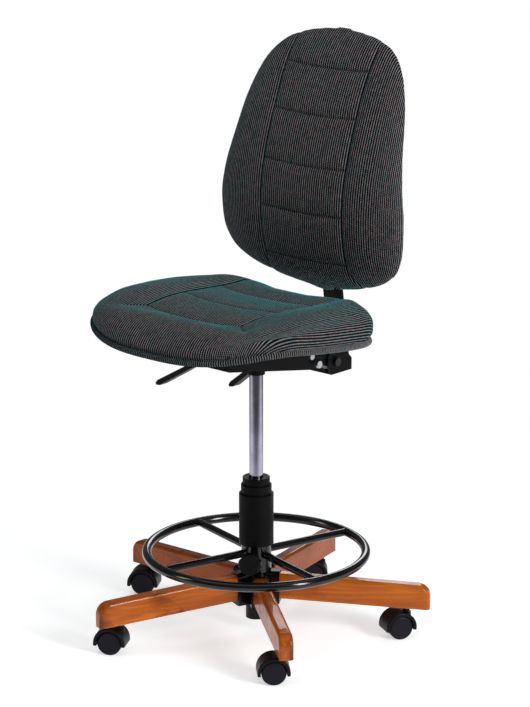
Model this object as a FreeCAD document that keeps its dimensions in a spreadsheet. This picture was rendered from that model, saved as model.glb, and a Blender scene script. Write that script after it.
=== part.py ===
import FreeCAD, Part
import math
import os
import Sketcher
from FreeCAD import Placement, Rotation, Vector

# Drafting chair on a five-leg wooden base with a foot ring.
# Millimetres. +Z is up, the sitter faces -Y and the sitter's left is +X.
# The origin is on the floor, on the axis of the gas-lift column.

X_AXIS = Vector(1, 0, 0)
Y_AXIS = Vector(0, 1, 0)
Z_AXIS = Vector(0, 0, 1)

DIMENSIONS = {
    # wooden legs
    "leg_count": 5, "leg_first_angle": -38.5, "leg_inner_reach": 31, "leg_tip_reach": 359,
    "leg_width": 29, "leg_hub_underside": 73, "leg_tip_underside": 62,
    "leg_hub_top": 125, "leg_tip_top": 112, "leg_nose_radius": 26, "leg_edge_radius": 7,
    # hub that the legs plug into
    "hub_bottom": 61, "hub_top": 126, "hub_radius": 30, "hub_bore": 25.2, "hub_bore_low": 22.5,
    "socket_reach": 50, "socket_wall": 3.5, "socket_gap": 0.2,
    # castors
    "castor_circle": 310, "castor_trail": 18, "wheel_radius": 25, "wheel_width": 19,
    "wheel_inner_face": 3.4, "axle_radius": 4, "hood_radius": 33, "hood_inside": 26.4,
    "hood_width": 50, "hood_web": 5, "hood_cut_height": 20, "neck_radius": 7, "neck_top": 60.8,
    "stem_radius": 5, "stem_bottom": 49.6, "sleeve_radius": 6.5, "sleeve_top": 100,
    "running_gap": 0.05,
    # gas-lift column
    "column_bottom": 26, "column_top": 318, "column_radius": 25, "column_tip_radius": 22,
    "column_bore": 19, "column_floor": 5, "bushing_bottom": 200, "tube_radius": 14,
    "tube_bore": 12, "tube_bottom": 230, "tube_top": 598, "rod_radius": 5, "rod_bottom": 21,
    "rod_top": 262, "lift_stroke": 185,
    # telescopic column cover
    "cover_outer_radius": 35.5, "cover_outer_bottom": 186.3, "cover_outer_top": 294,
    "cover_middle_radius": 31.4, "cover_middle_bottom": 214, "cover_middle_top": 313,
    "cover_inner_radius": 27.9, "cover_inner_bottom": 242, "cover_inner_top": 328,
    "cover_wall": 1.9,
    # foot ring
    "ring_radius": 224.6, "ring_tube": 9.5, "ring_height": 168, "spoke_tube": 8,
    "spoke_first_angle": 75, "collar_radius": 31, "collar_bottom": 129, "collar_top": 186,
    "knob_angle": -60, "knob_height": 160, "knob_radius": 23.5, "knob_depth": 24,
    "knob_reach": 47, "stud_radius": 5,
    # seat control housing
    "housing_half_width": 58, "housing_wall": 3, "boss_radius": 18, "boss_bottom": 545,
    "tilt_pivot_back": -110, "tilt_pivot_height": 630,
    "recline_pivot_back": 200, "recline_pivot_height": 537, "pivot_radius": 5,
    "lug_inner": 30, "lug_wall": 5, "lug_radius": 15,
    # hand levers
    "height_lever_back": -42, "tilt_lever_back": 110, "lever_rod_radius": 4,
    # back support
    "bar_half_width": 25, "bar_thickness": 6, "bar_lean": 8.2, "bar_foot_height": 518,
    "bar_height_at_545": 256, "bar_top": 880,
    # seat
    "seat_height": 647, "seat_slope": 7, "seat_half_width": 262, "seat_half_depth": 226,
    "seat_centre_back": -80, "board_thickness": 10, "welt_size": 12,
    "waterfall_start": -160, "waterfall_radius": 281,
}

CASTOR_HEADINGS = (226, 241, 222, 212, 210)

doc = FreeCAD.newDocument("DraftingChair")
sheet = doc.addObject("Spreadsheet::Sheet", "Dims")
nodes = []


def fill_sheet():
    for row, (alias, number) in enumerate(DIMENSIONS.items(), 1):
        sheet.set(f"A{row}", alias)
        sheet.set(f"B{row}", str(number))
        sheet.setAlias(f"B{row}", alias)
    doc.recompute()


def cell(text):
    """Expression with every bare alias written as a reference to the sheet."""
    words = []
    word = ""
    for letter in text + " ":
        if letter.isalnum() or letter == "_":
            word += letter
            continue
        words.append(f"Dims.{word}" if word in DIMENSIONS else word)
        words.append(letter)
        word = ""
    return "".join(words).strip()


def value(text):
    result = sheet.evalExpression(cell(str(text)))
    return float(getattr(result, "Value", result))


def bind(item, **sizes):
    for name, text in sizes.items():
        item.setExpression(name, cell(str(text)))
    return item


def keep(item, node, place=None):
    """Names the item as one of the chair's pieces."""
    item.Label = node
    if place is not None:
        item.Placement = place
    nodes.append(item)
    return item


# ---------------------------------------------------------------- construction helpers

def origin_plane(body, role):
    return next(item for item in body.Origin.OriginFeatures if item.Role == role)


def draw(body, role, corners):
    """Closed sketch of straight edges whose corners are pairs of expressions."""
    sketch = body.newObject("Sketcher::SketchObject", f"{body.Name}_outline")
    sketch.AttachmentSupport = [(origin_plane(body, role), "")]
    sketch.MapMode = "FlatFace"
    points = [Vector(value(across), value(up), 0) for across, up in corners]
    count = len(points)
    for i in range(count):
        sketch.addGeometry(Part.LineSegment(points[i], points[(i + 1) % count]), False)
    for i in range(count):
        sketch.addConstraint(Sketcher.Constraint("Coincident", i, 2, (i + 1) % count, 1))
    for i, (across, up) in enumerate(corners):
        for kind, axis, text in (("DistanceX", -2, across), ("DistanceY", -1, up)):
            if abs(value(text)) < 1e-9:
                sketch.addConstraint(Sketcher.Constraint("PointOnObject", i, 1, axis))
                continue
            rule = Sketcher.Constraint(kind, -1, 1, i, 1, value(text))
            index = sketch.addConstraint(rule)
            sketch.setExpression(f"Constraints[{index}]", cell(str(text)))
    return sketch


def turned(name, corners):
    """Body turned about Z from a profile of (radius, height) corners."""
    body = doc.addObject("PartDesign::Body", name)
    sketch = draw(body, "XZ_Plane", corners)
    turn = body.newObject("PartDesign::Revolution", f"{name}_turn")
    turn.Profile = sketch
    turn.ReferenceAxis = (sketch, ["V_Axis"])
    turn.Angle = 360
    return body


def plate(name, role, corners, thickness):
    """Body padded evenly to both sides of an origin plane."""
    body = doc.addObject("PartDesign::Body", name)
    sketch = draw(body, role, corners)
    pad = body.newObject("PartDesign::Pad", f"{name}_pad")
    pad.Profile = sketch
    pad.Midplane = True
    bind(pad, Length=thickness)
    return body


def round_edges(body, radius, chosen):
    """PartDesign fillet on the edges that the test picks."""
    doc.recompute()
    base = body.Tip
    names = [f"Edge{i}" for i, edge in enumerate(base.Shape.Edges, 1) if chosen(edge)]
    fillet = body.newObject("PartDesign::Fillet", f"{body.Name}_round")
    fillet.Base = (base, names)
    bind(fillet, Radius=radius)
    doc.recompute()
    return body


def cylinder(name, radius, length, place=Placement()):
    item = doc.addObject("Part::Cylinder", name)
    bind(item, Radius=radius, Height=length)
    item.Placement = place
    return item


def box(name, low, high, place=None):
    """Box between two corners given as expressions."""
    item = doc.addObject("Part::Box", name)
    for side, a, b in zip(("Length", "Width", "Height"), low, high):
        item.setExpression(side, cell(f"({b}) - ({a})"))
    corner = Vector(*[value(text) for text in low])
    item.Placement = Placement(corner, Rotation())
    if place is not None:
        item.Placement = place.multiply(item.Placement)
    return item


def fuse(name, items):
    item = doc.addObject("Part::MultiFuse", name)
    item.Shapes = items
    return item


def cut(name, base, tools):
    tool = tools[0] if len(tools) == 1 else fuse(f"{name}_tools", tools)
    item = doc.addObject("Part::Cut", name)
    item.Base = base
    item.Tool = tool
    return item


def group(name, items):
    """Several separate solids kept as one piece."""
    item = doc.addObject("Part::Compound", name)
    item.Links = items
    return item


def upright(x=0, y=0, z=0):
    return Placement(Vector(x, y, z), Rotation())


def along_x(x, y, z):
    return Placement(Vector(x, y, z), Rotation(Y_AXIS, 90))


def along_y(x, y, z):
    return Placement(Vector(x, y, z), Rotation(X_AXIS, -90))


def about_z(angle):
    return Placement(Vector(), Rotation(Z_AXIS, angle))


def tidy(body, place):
    body.Placement = place
    return body


# ---------------------------------------------------------------- base

def leg_angles():
    count = int(value("leg_count"))
    first = value("leg_first_angle")
    return [first + 360 / count * i for i in range(count)]


def make_leg(number, angle):
    corners = [
        ("leg_inner_reach", "leg_hub_underside"), ("leg_tip_reach", "leg_tip_underside"),
        ("leg_tip_reach", "leg_tip_top"), ("leg_inner_reach", "leg_hub_top")]
    body = plate(f"LegBlank{number}", "XZ_Plane", corners, "leg_width")
    tip = value("leg_tip_reach")
    half = value("leg_width") / 2

    def nose(edge):
        middle = edge.CenterOfMass
        return abs(middle.x - tip) < 0.1 and abs(middle.z - value("leg_tip_top")) < 0.1

    def upper_side(edge):
        middle = edge.CenterOfMass
        inner = abs(middle.x - value("leg_inner_reach")) < 0.1
        return abs(abs(middle.y) - half) < 0.1 and not inner and middle.z > 70

    round_edges(body, "leg_nose_radius", nose)
    round_edges(body, "leg_edge_radius", upper_side)
    hole = cylinder(f"LegBore{number}", "sleeve_radius + 0.1", "sleeve_top + 0.3 - 50",
                    upright(value("castor_circle"), 0, 50))
    pilot = cylinder(f"LegPilot{number}", "3.1", "50.3", upright(42, 0, 60))
    keep(cut(f"Leg{number}", body, [hole, pilot]), f"leg_{number}", about_z(angle))


def make_hub():
    sleeve = turned("HubSleeve", [
        ("10", "hub_bottom"), ("hub_radius", "hub_bottom"), ("hub_radius", "hub_top"),
        ("10", "hub_top")])
    solids = [sleeve]
    hollows = []
    half = "leg_width / 2 + socket_gap + socket_wall"
    for i, angle in enumerate(leg_angles(), 1):
        place = about_z(angle)
        corners = [(f"-({half})", "hub_bottom"), (half, "hub_bottom"),
                   (half, "leg_hub_top + socket_gap + socket_wall"),
                   (f"-({half})", "leg_hub_top + socket_gap + socket_wall")]
        socket = arched_bar(f"Socket{i}", corners, "socket_reach - 12",
                            "leg_edge_radius + socket_gap + socket_wall")
        socket.Placement = place.multiply(upright(value("12"), 0, 0))
        side = "leg_width / 2 + socket_gap"
        corners = [(f"-({side})", "leg_hub_underside - 1"), (side, "leg_hub_underside - 1"),
                   (side, "leg_hub_top + socket_gap"), (f"-({side})", "leg_hub_top + socket_gap")]
        hollow = arched_bar(f"SocketHollow{i}", corners, "60", "leg_edge_radius + socket_gap")
        hollow.Placement = place.multiply(upright(value("leg_inner_reach - 0.3"), 0, 0))
        solids.append(socket)
        hollows.append(hollow)
        screw_hole = cylinder(f"HubScrewHole{i}", "3.1", "30")
        screw_hole.Placement = place.multiply(upright(42, 0, 50))
        hollows.append(screw_hole)
    bore = turned("HubBore", [
        ("0", "50"), ("hub_bore_low", "50"), ("hub_bore_low", "hub_bottom"),
        ("hub_bore", "97"), ("hub_bore", "140"), ("0", "140")])
    keep(cut("Hub", fuse("HubBody", solids), hollows + [bore]), "base_hub")


def arched_bar(name, corners, length, radius):
    """Bar along +X with a rectangular section whose two upper edges are rounded."""
    body = doc.addObject("PartDesign::Body", name)
    sketch = draw(body, "YZ_Plane", corners)
    pad = body.newObject("PartDesign::Pad", f"{name}_pad")
    pad.Profile = sketch
    bind(pad, Length=length)
    top = max(value(up) for _, up in corners)
    side = max(value(across) for across, _ in corners)

    def shoulder(edge):
        middle = edge.CenterOfMass
        return abs(middle.z - top) < 0.1 and abs(abs(middle.y) - side) < 0.1

    return round_edges(body, radius, shoulder)


def make_leg_screws():
    screws = []
    for i, angle in enumerate(leg_angles(), 1):
        screw = turned(f"LegScrew{i}", [
            ("0", "hub_bottom - 4"), ("6", "hub_bottom - 4"), ("6.5", "hub_bottom"),
            ("3", "hub_bottom"), ("3", "108"), ("0", "110")])
        screw.Placement = about_z(angle).multiply(upright(42, 0, 0))
        screws.append(screw)
    keep(group("LegScrews", screws), "leg_screws")


def make_castor_fittings():
    sleeves = []
    stems = []
    for i, angle in enumerate(leg_angles(), 1):
        place = about_z(angle).multiply(upright(value("castor_circle"), 0, 0))
        sleeve = turned(f"CastorSleeve{i}", [
            ("stem_radius", "61.6"), ("11", "61.6"), ("11", "63.1"), ("sleeve_radius", "63.1"),
            ("sleeve_radius", "sleeve_top"), ("stem_radius", "sleeve_top")])
        stem = turned(f"CastorStem{i}", [
            ("0", "stem_bottom"), ("stem_radius", "stem_bottom"),
            ("stem_radius", "sleeve_top - 6"), ("3.5", "sleeve_top"), ("0", "sleeve_top")])
        sleeves.append(tidy(sleeve, place))
        stems.append(tidy(stem, place))
    keep(group("CastorSleeves", sleeves), "castor_sockets")
    keep(group("CastorStems", stems), "castor_stems")


def make_castor(number, leg_angle, heading):
    """One twin-wheel castor; it is modelled with its trail along +X and its axle along Y."""
    reach = value("castor_circle")
    bearing = math.radians(leg_angle)
    foot = Vector(reach * math.cos(bearing), reach * math.sin(bearing), 0)
    place = Placement(foot, Rotation(Z_AXIS, heading))
    trail = value("castor_trail")
    centre = value("wheel_radius")
    half = value("hood_width") / 2

    shell = cylinder(f"HoodShell{number}", "hood_radius", "hood_width",
                     along_y(trail, -half, centre))
    rounded = doc.addObject("Part::Fillet", f"HoodRound{number}")
    rounded.Base = shell
    doc.recompute()
    rims = [i for i, edge in enumerate(shell.Shape.Edges, 1) if len(edge.Vertexes) == 1]
    rounded.Edges = [(i, 3.0, 3.0) for i in rims]
    hollows = []
    for side in (-1, 1):
        start = value("hood_web") / 2 if side > 0 else -half - 1
        hollows.append(cylinder(f"HoodHollow{number}_{side + 2}", "hood_inside",
                                "hood_width / 2 - hood_web / 2 + 1",
                                along_y(trail, start, centre)))
    below = box(f"HoodBelow{number}", ("-30", "-40", "-20"), ("70", "40", "hood_cut_height"))
    barrel = cylinder(f"HoodBarrel{number}", "10", "8.5", upright(0, 0, 44.6))
    neck = cylinder(f"HoodNeck{number}", "neck_radius", "neck_top - 50", upright(0, 0, 50))
    covered = fuse(f"HoodCovered{number}", [rounded, barrel, neck])
    opened = cut(f"HoodOpen{number}", covered, hollows + [below])
    boss = cylinder(f"HoodBoss{number}", "9", "hood_web",
                    along_y(trail, -value("hood_web") / 2, centre))
    body = fuse(f"HoodBody{number}", [opened, boss])
    stem_bore = cylinder(f"HoodStemBore{number}", "stem_radius + running_gap", "20",
                         upright(0, 0, value("stem_bottom - 0.3")))
    axle_bore = cylinder(f"HoodAxleBore{number}", "axle_radius", "20",
                         along_y(trail, -10, centre))
    keep(cut(f"Hood{number}", body, [stem_bore, axle_bore]), f"castor_hood_{number}", place)

    axle = cylinder(f"Axle{number}", "axle_radius", "39")
    keep(axle, f"castor_axle_{number}", place.multiply(along_y(trail, -19.5, centre)))

    for side, letter in ((-1, "a"), (1, "b")):
        wheel = turned(f"Wheel{number}{letter}", [
            ("axle_radius + running_gap", "0"), ("9", "0"), ("9", "1"), ("22", "1"),
            ("wheel_radius - 1.5", "1"), ("wheel_radius", "2.5"),
            ("wheel_radius", "wheel_width - 3"), ("wheel_radius - 1.6", "wheel_width - 0.8"),
            ("wheel_radius - 4", "wheel_width"), ("0", "wheel_width"),
            ("0", "wheel_width - 2.6"), ("axle_radius + running_gap", "wheel_width - 2.6")])
        spin = Placement(Vector(trail, side * value("wheel_inner_face"), centre),
                         Rotation(X_AXIS, -90 * side))
        keep(wheel, f"castor_wheel_{number}{letter}", place.multiply(spin))


# ---------------------------------------------------------------- column and gas lift

def make_column():
    tube = turned("ColumnTube", [
        ("rod_radius", "column_bottom"), ("column_tip_radius", "column_bottom"),
        ("column_tip_radius", "55"), ("column_radius", "97"), ("column_radius", "column_top"),
        ("column_bore", "column_top"), ("column_bore", "column_bottom + column_floor"),
        ("rod_radius", "column_bottom + column_floor")])
    cut_bore = cylinder("ColumnRodHole", "rod_radius + running_gap", "20", upright(0, 0, 20))
    keep(cut("Column", tube, [cut_bore]), "column_tube")
    bushing = turned("ColumnBushing", [
        ("tube_radius + running_gap", "bushing_bottom"), ("column_bore", "bushing_bottom"),
        ("column_bore", "column_top"), ("column_radius - 1", "column_top"),
        ("column_radius - 1", "column_top + 3"), ("tube_radius + running_gap", "column_top + 3")])
    keep(bushing, "column_bushing")


def make_spindle():
    rod = turned("PistonRod", [
        ("0", "rod_bottom"), ("rod_radius - 0.8", "rod_bottom"), ("rod_radius", "rod_bottom + 1"),
        ("rod_radius", "24"), ("rod_radius - 1", "24"), ("rod_radius - 1", "25.4"),
        ("rod_radius", "25.4"), ("rod_radius", "rod_top - 10"), ("3.5", "rod_top - 10"),
        ("3.5", "rod_top"), ("0", "rod_top")])
    keep(rod, "piston_rod")
    piston = turned("RodPiston", [
        ("3.5", "rod_top - 10"), ("tube_bore - 0.4", "rod_top - 10"),
        ("tube_bore - 0.4", "rod_top"), ("3.5", "rod_top")])
    keep(piston, "rod_piston")
    bearing = turned("ThrustBearing", [
        ("rod_radius", "column_bottom + column_floor + 0.3"),
        ("13", "column_bottom + column_floor + 0.3"), ("13", "38"), ("rod_radius", "38")])
    keep(bearing, "thrust_bearing")
    clip = turned("RetainingClip", [
        ("rod_radius - 1", "24"), ("9", "24"), ("9", "25.4"), ("rod_radius - 1", "25.4")])
    keep(clip, "retaining_clip")


def make_pressure_tube():
    tube = turned("PressureTube", [
        ("tube_bore", "tube_bottom"), ("tube_radius - 1", "tube_bottom"),
        ("tube_radius", "tube_bottom + 1.5"), ("tube_radius", "tube_top"),
        ("tube_bore", "tube_top")])
    keep(tube, "pressure_tube")
    seal = turned("RodGuideSeal", [
        ("rod_radius + running_gap", "tube_bottom + 1"), ("tube_bore", "tube_bottom + 1"),
        ("tube_bore", "tube_bottom + 17"), ("rod_radius + running_gap", "tube_bottom + 17")])
    keep(seal, "rod_guide_seal")
    valve = turned("ValveBody", [
        ("4 + running_gap", "tube_top - 26"), ("tube_bore", "tube_top - 26"),
        ("tube_bore", "tube_top + 2"), ("4 + running_gap", "tube_top + 2")])
    keep(valve, "valve_body")
    pin = cylinder("ReleasePin", "4", "24", upright(0, 0, value("tube_top - 15.5")))
    keep(pin, "release_pin")


def make_sleeve(name, node, radius, bottom, top, next_radius):
    """One sleeve of the column cover; its top lip closes on the sleeve inside it."""
    sleeve = turned(name, [
        (f"{radius} - cover_wall", bottom), (radius, bottom), (radius, f"{top} - 1"),
        (f"{radius} - 1", top), (next_radius, top), (next_radius, f"{top} - 2.5"),
        (f"{radius} - cover_wall", f"{top} - 2.5")])
    keep(sleeve, node)


def make_covers():
    make_sleeve("CoverOuter", "column_cover_outer", "cover_outer_radius",
                "cover_outer_bottom", "cover_outer_top", "cover_middle_radius + 0.4")
    make_sleeve("CoverMiddle", "column_cover_middle", "cover_middle_radius",
                "cover_middle_bottom", "cover_middle_top", "cover_inner_radius + 0.4")
    make_sleeve("CoverInner", "column_cover_inner", "cover_inner_radius",
                "cover_inner_bottom", "cover_inner_top", "tube_radius + 1")


# ---------------------------------------------------------------- foot ring

def knob_place(reach):
    """Frame with +Z pointing out along the clamping stud."""
    angle = math.radians(value("knob_angle"))
    outward = Vector(math.cos(angle), math.sin(angle), 0)
    base = outward * reach + Vector(0, 0, value("knob_height"))
    return Placement(base, Rotation(Z_AXIS, outward))


def make_ring():
    rim = doc.addObject("Part::Torus", "RingRim")
    bind(rim, Radius1="ring_radius", Radius2="ring_tube")
    keep(rim, "ring_rim", upright(0, 0, value("ring_height")))

    spokes = []
    for i in range(4):
        angle = value("spoke_first_angle") + 90 * i
        rod = cylinder(f"SpokeRod{i}", "spoke_tube", "ring_radius - 20")
        rod.Placement = about_z(angle).multiply(along_x(20, 0, value("ring_height")))
        core = cylinder(f"SpokeCore{i}", "collar_radius", "60", upright(0, 0, 140))
        shape = doc.addObject("Part::Torus", f"SpokeRim{i}")
        bind(shape, Radius1="ring_radius", Radius2="ring_tube")
        shape.Placement = upright(0, 0, value("ring_height"))
        beyond = cut(f"SpokeTrim{i}", rod, [core, shape])
        spokes.append(beyond)
    keep(group("RingSpokes", spokes), "ring_spokes")

    barrel = turned("CollarBarrel", [
        ("column_radius + 0.3", "collar_bottom + 0.3"), ("collar_radius", "collar_bottom + 0.3"),
        ("collar_radius", "collar_top"), ("column_radius + 0.3", "collar_top")])
    boss = cylinder("CollarBoss", "10", "14", knob_place(28))
    hole = cylinder("CollarStudHole", "stud_radius + running_gap", "30", knob_place(20))
    bored = cylinder("CollarBore", "column_radius + 0.3", "80", upright(0, 0, 120))
    keep(cut("Collar", fuse("CollarBody", [barrel, boss]), [hole, bored]), "ring_collar")

    pad = cylinder("ClampPad", "stud_radius", "3.6")
    keep(pad, "clamp_pad", knob_place(value("column_radius + 0.5")))


def make_knob():
    stem = turned("KnobTurned", [
        ("0", "29.4"), ("stud_radius", "29.4"), ("stud_radius", "knob_reach"),
        ("11", "knob_reach"), ("12", "knob_reach + 4"), ("knob_radius - 2", "knob_reach + 6"),
        ("knob_radius", "knob_reach + 9"), ("knob_radius", "knob_reach + knob_depth - 4"),
        ("knob_radius - 3", "knob_reach + knob_depth"), ("10", "knob_reach + knob_depth"),
        ("9", "knob_reach + knob_depth - 1.5"), ("0", "knob_reach + knob_depth - 1.5")])
    flutes = []
    for i in range(6):
        flute = cylinder(f"KnobFlute{i}", "7", "knob_depth + 10")
        turn = about_z(60 * i).multiply(upright(value("knob_radius + 4"), 0,
                                                value("knob_reach - 2")))
        flute.Placement = turn
        flutes.append(flute)
    keep(cut("Knob", stem, flutes), "ring_knob", knob_place(0))


# ---------------------------------------------------------------- seat control

def make_housing():
    outer = plate("HousingOuter", "YZ_Plane", [
        ("-143", "587"), ("121", "539"), ("140", "548"), ("140", "613"), ("-143", "644")],
        "2 * housing_half_width")
    inner = plate("HousingInner", "YZ_Plane", [
        ("-140", "589.5"), ("121", "542"), ("137", "550"), ("137", "660"), ("-140", "660")],
        "2 * (housing_half_width - housing_wall)")
    shell = cut("HousingShell", outer, [inner])
    solids = [shell, cylinder("HousingBoss", "boss_radius", "tube_top - boss_bottom",
                              upright(0, 0, value("boss_bottom")))]
    for side in (-1, 1):
        middle = side * value("lug_inner + lug_wall / 2")
        lug = plate(f"Lug{side + 2}", "YZ_Plane", [
            ("110", "544.1"), ("139", "546"), ("193", "523.7"), ("203", "522.3"),
            ("212.5", "531"), ("214", "543"), ("204", "551.4"), ("139", "590"), ("110", "590")],
            "lug_wall")
        solids.append(tidy(lug, upright(middle, 0, 0)))
    solids.append(box("HeightLeverTab", ("-38", "-63", "565"), ("-22", "-58", "612")))
    solids.append(box("TiltLeverTab", ("-56", "122", "545"), ("-38", "127", "572")))
    holes = [
        cylinder("HousingTubeBore", "tube_radius", "100", upright(0, 0, 530)),
        cross_hole("HousingTiltHole", "pivot_radius", "tilt_pivot_back", "tilt_pivot_height"),
        cylinder("HousingLockHole", "pivot_radius", "20", along_x(50, 118, 552)),
        cylinder("HousingStopHole", "4", "20", along_x(50, 101, 571)),
        cross_hole("HousingReclineHole", "pivot_radius", "recline_pivot_back",
                   "recline_pivot_height"),
        cylinder("HeightPinHole", "3", "20", along_y(-30, -70, 606)),
        cylinder("TiltPinHole", "3", "20", along_y(-46, 115, 561)),
        box("HeightLeverSlot", ("-70", "-49", "580"), ("-50", "-35", "606")),
        box("TiltLeverSlot", ("-70", "103", "543.5"), ("-50", "117", "566"))]
    keep(cut("Housing", fuse("HousingBody", solids), holes), "control_housing")


def cross_hole(name, radius, back, height, half_length="100"):
    return cylinder(name, radius, f"2 * ({half_length})",
                    along_x(-value(half_length), value(back), value(height)))


def headed_bolt(name, radius, head_radius, head_length, back, height, grip):
    """Bolt across the chair with its head on the sitter's left and a nut on the right."""
    bolt = turned(name, [
        ("0", f"-({grip}) - {head_length} * 0.7"), (head_radius, f"-({grip}) - {head_length} * 0.7"),
        (head_radius, f"-({grip})"), (radius, f"-({grip})"), (radius, grip),
        (head_radius, grip), (head_radius, f"{grip} + {head_length}"),
        ("0", f"{grip} + {head_length}")])
    return tidy(bolt, along_x(0, value(back), value(height)))


def wall_bolt(name, radius, head_radius, head_length, back, height):
    """Short bolt through the housing's left wall with its nut inside."""
    inside = "housing_half_width - housing_wall"
    bolt = turned(name, [
        ("0", f"{inside} - 8"), (radius, f"{inside} - 8"), (radius, f"{inside} - 6"),
        (head_radius, f"{inside} - 6"), (head_radius, inside), (radius, inside),
        (radius, "housing_half_width"), (head_radius, "housing_half_width"),
        (head_radius, f"housing_half_width + {head_length}"),
        ("0", f"housing_half_width + {head_length}")])
    return tidy(bolt, along_x(0, value(back), value(height)))


def make_control_bolts():
    bolts = [
        headed_bolt("TiltBolt", "pivot_radius", "8", "6", "tilt_pivot_back",
                    "tilt_pivot_height", "63.6"),
        wall_bolt("LockBolt", "pivot_radius", "7.5", "10", "118", "552"),
        wall_bolt("StopBolt", "4", "6.5", "5", "101", "571"),
        headed_bolt("ReclineBolt", "pivot_radius", "9", "6", "recline_pivot_back",
                    "recline_pivot_height", "41.6"),
        cylinder("HeightPin", "3", "33", along_y(-30, -63, 606)),
        tidy(turned("TiltPin", [("0", "0"), ("5", "0"), ("5", "2"), ("3", "2"), ("3", "33"),
                                ("0", "33")]), along_y(-46, 94, 561))]
    keep(group("ControlBolts", bolts), "control_bolts")


def lever_frame(back, pivot_x, pivot_z, end_x, end_z):
    """Frame at a lever's pivot with +X pointing down along its arm."""
    slope = math.degrees(math.atan2(pivot_z - end_z, pivot_x - end_x))
    turn = Rotation(Z_AXIS, 180).multiply(Rotation(Y_AXIS, slope))
    return Placement(Vector(pivot_x, back, pivot_z), turn)


def make_paddle(name, start, end, place):
    """Flat hand grip with rounded ends, thicker at the tip."""
    body = plate(name, "XZ_Plane", [
        (start, "-4.5"), (f"{start} + 20", "-5.5"), (f"{end} - 8", "-6.5"), (end, "-2.5"),
        (end, "2.5"), (f"{end} - 8", "5.5"), (f"{start} + 20", "5"), (start, "4.5")], "26")
    middle = value(end)

    def outer_edge(edge):
        centre = edge.CenterOfMass
        return abs(abs(centre.y) - 13) < 0.1 and edge.Length > 4 and centre.x < middle + 1

    return tidy(round_edges(body, "2", outer_edge), place)


def make_levers():
    back = value("height_lever_back")
    place = lever_frame(back, -30, 606, -230, 492)
    rod = cylinder("HeightRod", "lever_rod_radius", "150",
                   place.multiply(Placement(Vector(0, 0, 0), Rotation(Y_AXIS, 90))))
    grip = make_paddle("HeightPaddle", "120", "230", place)
    hub = cylinder("HeightHub", "7", "24", along_y(-30, -56, 606))
    tongue = box("HeightTongue", ("-34", "-34", "607"), ("-26", "6", "611"))
    finger = box("HeightFinger", ("-34", "-6", "607"), ("6", "6", "611"))
    bore = cylinder("HeightHubBore", "3 + running_gap", "60", along_y(-30, -70, 606))
    keep(cut("HeightLever", fuse("HeightLeverBody", [rod, grip, hub, tongue, finger]), [bore]),
         "height_lever")

    back = value("tilt_lever_back")
    place = lever_frame(back, -46, 561, -165, 468)
    rod = cylinder("TiltRod", "lever_rod_radius", "90",
                   place.multiply(Placement(Vector(0, 0, 0), Rotation(Y_AXIS, 90))))
    grip = make_paddle("TiltPaddle", "66", "151", place)
    hub = cylinder("TiltHub", "6", "21", along_y(-46, 99, 561))
    bore = cylinder("TiltHubBore", "3 + running_gap", "60", along_y(-46, 80, 561))
    keep(cut("TiltLever", fuse("TiltLeverBody", [rod, grip, hub]), [bore]), "tilt_lever")


# ---------------------------------------------------------------- back support

def bar_back(height, offset=0):
    """Distance behind the column of the upright bar at a height."""
    lean = math.radians(value("bar_lean"))
    return value("bar_height_at_545") + offset - (height - 545) * math.tan(lean)


def make_back_arm():
    cheeks = []
    for side in (-1, 1):
        cheek = plate(f"Cheek{side + 2}", "YZ_Plane", [
            ("175", "532"), ("186", "511"), ("250", "511"), ("250", "536"), ("222", "563"),
            ("186", "563"), ("175", "550")], "5")
        cheeks.append(tidy(cheek, upright(side * 38.5, 0, 0)))
    floor = box("BracketFloor", ("-41", "186", "511"), ("41", "250", "515"))
    hole = cross_hole("BracketHole", "pivot_radius + running_gap", "recline_pivot_back",
                      "recline_pivot_height")
    keep(cut("Bracket", fuse("BracketBody", cheeks + [floor]), [hole]), "back_bracket")

    half = value("bar_thickness") / 2 / math.cos(math.radians(value("bar_lean")))
    low = value("bar_foot_height") - value("bar_thickness") / 2
    high = value("bar_foot_height") + value("bar_thickness") / 2
    top = value("bar_top")
    bar = plate("Bar", "YZ_Plane", [
        ("186", f"{low}"), (f"{bar_back(low, half)}", f"{low}"), (f"{bar_back(top, half)}", f"{top}"),
        (f"{bar_back(top, -half)}", f"{top}"), (f"{bar_back(high, -half)}", f"{high}"),
        ("186", f"{high}")], "2 * bar_half_width")

    def inner_bend(edge):
        middle = edge.CenterOfMass
        return abs(middle.z - high) < 0.1 and abs(middle.y - bar_back(high, -half)) < 0.1

    def outer_bend(edge):
        middle = edge.CenterOfMass
        return abs(middle.z - low) < 0.1 and abs(middle.y - bar_back(low, half)) < 0.1

    round_edges(bar, "8", inner_bend)
    round_edges(bar, "14", outer_bend)
    keep(bar, "back_bar")


def make_channel():
    lean = value("bar_lean")
    place = Placement(Vector(0, bar_back(745), 745), Rotation(X_AXIS, lean))
    sleeve = box("ChannelOuter", ("-31", "-8", "0"), ("31", "8", "105"))
    ears = box("ChannelEars", ("-48", "-8", "8"), ("48", "-5", "97"))
    hollow = box("ChannelHollow", ("-bar_half_width - 0.3", "-3.3", "-5"),
                 ("bar_half_width + 0.3", "3.3", "110"))
    keep(cut("Channel", fuse("ChannelBody", [sleeve, ears]), [hollow]), "back_channel", place)


# height, half width, distance of the middle behind the column, thickness
BACK_SECTIONS = (
    (680, 8, 214, 5), (684, 25, 211, 13), (692, 64, 207, 27), (706, 128, 198, 44),
    (728, 182, 187, 61), (760, 219, 176, 70), (805, 236, 168, 75), (860, 239, 165, 78),
    (920, 232, 169, 77), (990, 220, 184, 74), (1060, 208, 205, 69), (1115, 192, 224, 63),
    (1158, 169, 241, 54), (1188, 135, 255, 39), (1204, 92, 263, 26), (1212, 45, 267, 12),
    (1216, 12, 269, 5))


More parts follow.
